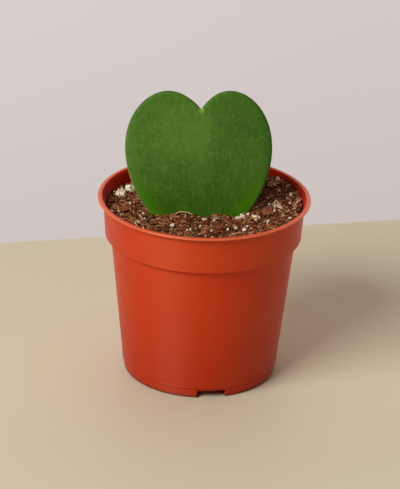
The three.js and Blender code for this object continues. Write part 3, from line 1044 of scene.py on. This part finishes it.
def bark_sheet():
    """The larger bark pieces: red-brown, with finer darker and lighter lines."""
    material, tree = new_finish("red_brown_bark", Roughness=0.8, Specular_IOR_Level=0.25)
    grain = speckle(tree, 700, 4, 0.7, (1, 0.45, 1))
    return finished(material, Base_Color=colours(grain, BARK_BROWNS), Normal=bump(grain, 0.4, 0.8))


def straw_skin():
    """Dry straw and coir: pale tan with browner patches."""
    material, tree = new_finish("dry_straw", Roughness=0.8, Specular_IOR_Level=0.3)
    patches = spread(speckle(tree, 600, 3, 0.6), 0.35, 0.7)
    return finished(
        material, Base_Color=blend(patches, STRAW_TAN, STRAW_BROWN),
        Normal=bump(speckle(tree, 2400, 2, 0.6), 0.12, 0.6),
    )


def root_skin():
    """Cream roots with browner patches and fine wrinkles."""
    material, tree = new_finish("cream_root_skin", Roughness=0.75, IOR=1.4)
    patches = spread(speckle(tree, 260, 4, 0.6), 0.4, 0.7)
    return finished(
        material, Base_Color=blend(patches, ROOT_CREAM, ROOT_BROWN),
        Normal=bump(speckle(tree, 1500, 3, 0.6), 0.15, 0.6),
    )


def perlite_foam():
    """Perlite: off-white expanded glass, finely porous, with peat dust in its hollows."""
    material, tree = new_finish("perlite_foam", Roughness=0.85, IOR=1.45)
    pores = joined("ShaderNodeTexVoronoi", {"Vector": object_place(tree), "Scale": 1500}, "Distance")
    tone = layered(PERLITE_WHITE, [
        (kept_number(tree, "tone"), PERLITE_CREAM),
        (spread(speckle(tree, 520, 4, 0.7), 0.54, 0.82, 0, 0.75), PERLITE_DUST),
        (spread(pores, 0.1, 0.4, 0.35, 0), PERLITE_PORE),
    ])
    return finished(material, Base_Color=tone, Normal=bump(pores, 0.25, 0.7))


def table_paint():
    """Plain beige table top with a hardly visible cloudiness."""
    material, tree = new_finish("beige_table_paint", Roughness=0.4, IOR=1.45, Specular_IOR_Level=0.1)
    return finished(material, Base_Color=blend(speckle(tree, 7, 3), TABLE_BEIGE, TABLE_BEIGE_WARM))


# Scatters
class Scatter:
    """A geometry tree with named inputs for its sizes and a seed, run once on one object."""

    def __init__(self, name, numbers):
        self.tree = bpy.data.node_groups.new(name, "GeometryNodeTree")
        face = self.tree.interface
        face.new_socket("Surface", in_out="INPUT", socket_type="NodeSocketGeometry")
        self.values = {}
        for key, value in numbers.items():
            kind = "NodeSocketInt" if isinstance(value, int) else "NodeSocketFloat"
            socket = face.new_socket(key, in_out="INPUT", socket_type=kind)
            self.values[socket.identifier] = value
        face.new_socket("Grains", in_out="OUTPUT", socket_type="NodeSocketGeometry")
        self.given = self.tree.nodes.new("NodeGroupInput").outputs

    def random(self, low, high, offset):
        """A random number for each grain; offset keeps it apart from the others."""
        inputs = {2: low, 3: high, "Seed": maths("ADD", self.given["Seed"], float(offset))}
        return joined("FunctionNodeRandomValue", inputs, 1, data_type="FLOAT")

    def random_angle(self, offset):
        """A random angle of up to a whole turn."""
        return self.random(0, 2 * math.pi, offset)

    def random_turn(self):
        """A random whole turn about every axis."""
        return rotation(*(self.random_angle(draw) for draw in TURN_DRAWS))

    def grain_size(self):
        """A size for each grain between the smallest and the largest, with many more small ones."""
        skewed = maths("POWER", self.random(0.0, 1.0, SIZE_DRAW), SMALL_GRAIN_POWER)
        reach = maths("SUBTRACT", self.given["Largest"], self.given["Smallest"])
        return maths("ADD", self.given["Smallest"], product(skewed, reach))

    def read(self, name):
        """A number that each point keeps."""
        return node(self.tree, "GeometryNodeInputNamedAttribute", {"Name": name}, data_type="FLOAT")

    def sown(self):
        """Random points on the part of the surface that has room for them."""
        density = product(self.read("room"), self.given["Per square metre"])
        return joined("GeometryNodeDistributePointsOnFaces", {
            "Mesh": self.given["Surface"], "Density": density, "Seed": self.given["Seed"],
        })

    def lumps(self, points, size, turn, flatness):
        """Lumps of a given size on points: lopsided balls of twenty or eighty faces."""
        ball = joined("GeometryNodeMeshIcoSphere", {"Radius": 1.0, "Subdivisions": self.given["Fineness"]})
        width = self.random(self.given["Narrowest"], self.given["Widest"], WIDTH_DRAW)
        scale = combined(size, product(size, width), product(size, flatness))
        return placed(points, ball, turn, scale)

    def realised(self, grains):
        """The grains as real shapes, each with a random tone for its material."""
        inputs = {"Geometry": grains, "Name": "tone", "Value": self.random(0.0, 1.0, TONE_DRAW)}
        toned = joined("GeometryNodeStoreNamedAttribute", inputs, data_type="FLOAT", domain="INSTANCE")
        return joined("GeometryNodeRealizeInstances", {0: toned})

    def roughened(self, geometry, scale, depth):
        """Pushes every point of the real shapes by a noise, so that no two grains are alike."""
        shift = joined("ShaderNodeTexNoise", {"Scale": scale, "Detail": 2.0}, "Color")
        return pushed(geometry, vector_maths("SUBTRACT", shift, (0.5, 0.5, 0.5)), depth)

    def loose(self, grains):
        """The grains as real shapes, roughened by the numbers that the scatter is given."""
        scale, depth = self.given["Roughness scale"], self.given["Roughness depth"]
        return self.roughened(self.realised(grains), scale, depth)

    def inside_pot(self, geometry):
        """Draws in every point that would reach into the pot's wall."""
        place = node(self.tree, "GeometryNodeInputPosition")
        reach = length(vector_maths("MULTIPLY", place, (1, 1, 0)))
        share = maths("MINIMUM", maths("DIVIDE", mm(SOIL_EDGE_RADIUS), reach), 1.0)
        drawn_in = vector_maths("MULTIPLY", place, combined(share, share, 1.0))
        return joined("GeometryNodeSetPosition", {"Geometry": geometry, "Position": drawn_in})

    def run(self, base, geometry):
        """Ends the tree and turns its result on the base object into a plain mesh object."""
        out = self.tree.nodes.new("NodeGroupOutput")
        self.tree.links.new(self.inside_pot(geometry), out.inputs[0])
        modifier = base.modifiers.new(self.tree.name, "NODES")
        modifier.node_group = self.tree
        for identifier, value in self.values.items():
            modifier[identifier] = value
        mesh = evaluated_mesh(base)
        base.modifiers.remove(modifier)
        mesh.name = self.tree.name
        return linked(self.tree.name, mesh)


def rotation(x, y, z):
    """A rotation by three angles."""
    return joined("FunctionNodeEulerToRotation", {0: combined(x, y, z)})


def placed(points, shape, turn, scale):
    """A copy of a shape at every point."""
    inputs = {"Points": points, "Instance": shape, "Rotation": turn, "Scale": scale}
    return joined("GeometryNodeInstanceOnPoints", inputs)


def pushed(geometry, way, distance):
    """Moves points along a vector, by a distance times its length."""
    push = joined("ShaderNodeVectorMath", {0: way, "Scale": distance}, operation="SCALE")
    return joined("GeometryNodeSetPosition", {"Geometry": geometry, "Offset": push})


def make_crumbs(bed, name, numbers):
    """Peat crumbs sown over the bed, each sunk a little into it."""
    scatter = Scatter(name, numbers)
    points = scatter.sown()
    size = scatter.grain_size()
    lift = product(size, scatter.random(DEEPEST_CRUMB, scatter.given["Lift"], LIFT_DRAW))
    lifted = pushed(points, points.node.outputs["Normal"], lift)
    flatness = scatter.random(scatter.given["Flattest"], LEAST_FLAT_CRUMB, FLATNESS_DRAW)
    return scatter.run(bed, scatter.loose(scatter.lumps(lifted, size, scatter.random_turn(), flatness)))


def make_flakes(bed, name, numbers):
    """Flat chips and shreds that lie on the bed, each tilted a little."""
    scatter = Scatter(name, numbers)
    points = pushed(scatter.sown(), UP, scatter.given["Lift"])
    tilt = scatter.given["Tilt"]
    angles = [scatter.random(product(tilt, -1.0), tilt, draw) for draw in TURN_DRAWS[:2]]
    turn = rotation(*angles, scatter.random_angle(TURN_DRAWS[2]))
    flakes = scatter.lumps(points, scatter.grain_size(), turn, scatter.given["Flattest"])
    return scatter.run(bed, scatter.loose(flakes))


def make_fibres(bed, name, numbers):
    """Thin bent root and coir fibres that lie over the crumbs."""
    scatter = Scatter(name, numbers)
    points = pushed(scatter.sown(), UP, scatter.given["Lift"])
    line = node(scatter.tree, "GeometryNodeCurvePrimitiveLine", {"Start": (-0.5, 0, 0), "End": (0.5, 0, 0)})
    strand = joined("GeometryNodeResampleCurve", {"Curve": line, "Count": FIBRE_POINTS})
    tilt = scatter.random(-FIBRE_TILT, FIBRE_TILT, TURN_DRAWS[1])
    turn = rotation(0.0, tilt, scatter.random_angle(TURN_DRAWS[2]))
    strands = scatter.loose(placed(points, strand, turn, scatter.grain_size()))
    section = {"Resolution": FIBRE_SIDES, "Radius": scatter.given["Thickness"]}
    circle = joined("GeometryNodeCurvePrimitiveCircle", section)
    tube = {"Curve": strands, "Profile Curve": circle, "Fill Caps": True}
    return scatter.run(bed, joined("GeometryNodeCurveToMesh", tube))


def perlite_places():
    """Where the perlite grains lie: the ones that stand out, then a seeded scatter of small ones."""
    places = list(SHOWING_PERLITE)
    chance = random.Random(PERLITE_SEED)
    while len(places) < len(SHOWING_PERLITE) + SMALL_PERLITE_COUNT:
        radius = SOIL_EDGE_RADIUS * math.sqrt(chance.random()) * SMALL_PERLITE_REACH
        angle = chance.uniform(0, 2 * math.pi)
        size = SMALL_PERLITE_RADIUS + SMALL_PERLITE_SPREAD * chance.random() ** 3
        x, y = radius * math.cos(angle), radius * math.sin(angle)
        if leaf_distance(x, y, soil_height(x, y)) > size and radius + size < SOIL_EDGE_RADIUS:
            places.append((x, y, size))
    return places


def place_grains(name, numbers, places):
    """Grains of given sizes at given places (x, y, radius), resting in the soil's surface."""
    vertices = [(x, y, soil_height(x, y) + PERLITE_LIFT * radius) for x, y, radius in places]
    seeds = new_object(name + "_places", vertices, [])
    store(seeds, "size", [mm(radius) for x, y, radius in places])
    scatter = Scatter(name, numbers)
    points = joined("GeometryNodeMeshToPoints", {"Mesh": scatter.given["Surface"]})
    size = scatter.read("size")
    flatness = scatter.random(scatter.given["Flattest"], 1.0, FLATNESS_DRAW)
    grains = scatter.realised(scatter.lumps(points, size, scatter.random_turn(), flatness))
    waves = maths("DIVIDE", scatter.given["Waves"], size)
    piece = scatter.run(seeds, scatter.roughened(grains, waves, product(scatter.given["Unevenness"], size)))
    bpy.data.objects.remove(seeds)
    return piece


def bark_point(number, share, turn, face):
    """A point on one flat bark piece, at a share of the way to its ragged margin."""
    x, y, half_length, half_width, thickness, degrees = BARK_PIECES[number]
    angle = math.radians(degrees)
    ragged = noise.noise(Vector((2 * math.cos(turn), 2 * math.sin(turn), 7.0 * number)))
    reach = share * (1 + BARK_RAGGEDNESS * ragged)
    u = reach * half_length * math.cos(turn)
    v = reach * half_width * math.sin(turn)
    px = x + u * math.cos(angle) - v * math.sin(angle)
    py = y + u * math.sin(angle) + v * math.cos(angle)
    ripple = BARK_RIPPLE * noise.noise(Vector((u * 0.35, v * 1.7, 3.0 * number)))
    depth = thickness / 2 * (1 - share ** 4)
    return px, py, soil_height(px, py) + BARK_LIFT + ripple + face * depth


def make_bark_pieces():
    """The larger flat bark pieces: thin bodies with a ragged outline and a rippled face."""
    rings = front_and_back(BARK_RINGS)
    vertices = []
    faces = []
    for number in range(len(BARK_PIECES)):
        faces += ring_faces(len(vertices), BARK_SIDES, len(rings))
        vertices.append(bark_point(number, 0, 0, -1))
        for share, face in rings:
            vertices += [bark_point(number, share, turn, face) for turn in turns(BARK_SIDES)]
        vertices.append(bark_point(number, 0, 0, 1))
    return new_object("flat_bark_pieces", vertices, faces)


def straw_points(start, middle, end):
    """Points along the bend of one straw, over the soil."""
    points = []
    for k in range(STRAW_STEPS + 1):
        t = k / STRAW_STEPS
        spot = Vector(start) * (1 - t) ** 2 + Vector(middle) * 2 * t * (1 - t) + Vector(end) * t * t
        spot.z += soil_height(spot.x, spot.y) + STRAW_LIFT
        points.append(spot)
    return points


def make_straws():
    """The few pale straws that stand out, each a thin tapered tube along a bend."""
    vertices = []
    faces = []
    for start, middle, end, radius in STRAWS:
        points = straw_points(start, middle, end)
        first = len(vertices)
        for k, point in enumerate(points):
            run = (points[min(k + 1, STRAW_STEPS)] - points[max(k - 1, 0)]).normalized()
            side = run.cross(UP).normalized()
            over = side.cross(run)
            thick = radius * (1 - STRAW_TAPER * abs(2 * k / STRAW_STEPS - 1) ** 3)
            for turn in turns(STRAW_SIDES):
                vertices.append(point + (side * math.cos(turn) + over * math.sin(turn)) * thick)
        last = first + STRAW_STEPS * STRAW_SIDES
        for low in range(first, last, STRAW_SIDES):
            for i in range(STRAW_SIDES):
                j = (i + 1) % STRAW_SIDES
                faces.append((low + i, low + j, low + STRAW_SIDES + j, low + STRAW_SIDES + i))
        faces.append(tuple(reversed(range(first, first + STRAW_SIDES))))
        faces.append(tuple(range(last, last + STRAW_SIDES)))
    return new_object("pale_straws", vertices, faces)


# Stage
def make_table():
    """The beige table, whose straight back edge runs a little behind the pot."""
    left, right = Vector((*TABLE_EDGE_LEFT, 0)), Vector((*TABLE_EDGE_RIGHT, 0))
    along = (right - left).normalized()
    forward = along.cross(UP)
    middle = (left + right) / 2
    corners = []
    for z in (TABLE_TOP, TABLE_TOP - TABLE_THICKNESS):
        for side, depth in ((-1, 0), (1, 0), (1, 1), (-1, 1)):
            spot = middle + along * (side * TABLE_HALF_LENGTH) + forward * (depth * TABLE_DEPTH)
            corners.append((spot.x, spot.y, z))
    faces = [(0, 3, 2, 1), (4, 5, 6, 7)]
    faces += [(i, (i + 1) % 4, 4 + (i + 1) % 4, 4 + i) for i in range(4)]
    table = new_object("table", corners, faces, smooth=False)
    table.data.materials.append(table_paint())


def make_key_light():
    """A soft box at the front left that faces the plant."""
    data = bpy.data.lights.new("key_light", "AREA")
    data.shape = "RECTANGLE"
    data.energy = KEY_POWER
    data.size, data.size_y = KEY_SIZE
    data.color = KEY_COLOUR
    light = linked("key_light", data)
    light.location = KEY_PLACE
    aim = KEY_AIM - Vector(KEY_PLACE)
    light.rotation_euler = aim.to_track_quat("-Z", "Y").to_euler()


def make_backdrop():
    """A plain pale backdrop, with the glow of a lit wall behind and of a ceiling above."""
    world = bpy.data.worlds.new("pale_backdrop")
    world.use_nodes = True
    tree = world.node_tree
    direction = node(tree, "ShaderNodeTexCoord", output="Generated")
    across, back, height = joined("ShaderNodeSeparateXYZ", {0: direction}).node.outputs
    wall = blend(spread(height, *BACKDROP_LOW_BAND), BACKDROP_LOW, BACKDROP)
    right_wall = blend(1.0, wall, BACKDROP_RIGHT, "MULTIPLY")
    wall = blend(spread(across, *BACKDROP_RIGHT_BAND), wall, right_wall)
    lean = joined("ShaderNodeVectorMath", {0: direction, 1: SKY_LEAN}, "Value", operation="DOT_PRODUCT")
    sky = maths("MAXIMUM", lean, 0.0)
    sky = maths("ADD", sky, spread(height, *CEILING_REACH, 0.0, CEILING_LEVEL))
    glow = spread(back, *GLOW_WIDTH, 0.0, GLOW_LEVEL)
    sky = maths("ADD", sky, product(glow, spread(height, *GLOW_START)))
    sky = blend(1.0, sky, SKY_WARMTH, "MULTIPLY")
    air = blend(spread(height, *HORIZON_BAND), wall, sky)
    tree.links.new(air, tree.nodes["Background"].inputs["Color"])
    bpy.context.scene.world = world
    bpy.context.scene.view_settings.view_transform = "Standard"


def make_camera():
    """The camera at the photograph's place, with its slight roll."""
    data = bpy.data.cameras.new("camera")
    data.lens = CAMERA_LENS
    data.sensor_width = CAMERA_SENSOR
    data.clip_start = mm(CAMERA_NEAREST)
    camera = linked("camera", data)
    look = Matrix.Rotation(math.radians(90 - CAMERA_TILT), 3, "X")
    roll = Matrix.Rotation(math.radians(CAMERA_ROLL), 3, "Z")
    camera.matrix_world = Matrix.Translation(mm(CAMERA_PLACE)) @ (look @ roll).to_4x4()
    bpy.context.scene.camera = camera


# Assembly
def make_soil():
    """The bed of the soil with its hole for the leaf, and everything loose that lies on it."""
    bed = make_soil_bed()
    cut(bed, make_leaf(grow=LEAF_SOCKET_GAP))
    bed.data.shade_smooth()
    mark_room(bed)
    loose = [
        (make_crumbs(bed, "peat_crumbs", CRUMBS), "soil", loose_crumb("peat_crumbs", 0.05, 0.95, 0.15)),
        (make_flakes(bed, "peat_shreds", SHREDS), "soil", loose_crumb("peat_shreds", 0.05, 0.82, 0.3)),
        (make_flakes(bed, "bark_chips", BARK), "soil", loose_crumb("red_bark", 0.15, 0.7, 0.45)),
        (make_fibres(bed, "root_fibres", FIBRES), "soil", loose_crumb("pale_fibres", 0.55, 1.0, 0.25)),
        (place_grains("perlite_grains", PERLITE, perlite_places()), "perlite", perlite_foam()),
        (make_bark_pieces(), "soil", bark_sheet()),
        (make_straws(), "soil", straw_skin()),
    ]
    finish_piece(bed, "soil", peat_bed())
    for piece, slot, finish in loose:
        finish_piece(piece, "soil", finish)


def dress():
    """Makes every piece, gives it its finish, hides the CAD node that it stands for, and finishes the roots.
    """
    finish_piece(make_pot(), "pot", pot_plastic())
    finish_piece(make_leaf(), "leaf", leaf_skin())
    make_soil()
    roots = bpy.data.objects["roots"]
    roots.data.materials.clear()
    roots.data.materials.append(root_skin())


dress()
make_table()
make_backdrop()
make_key_light()
make_camera()
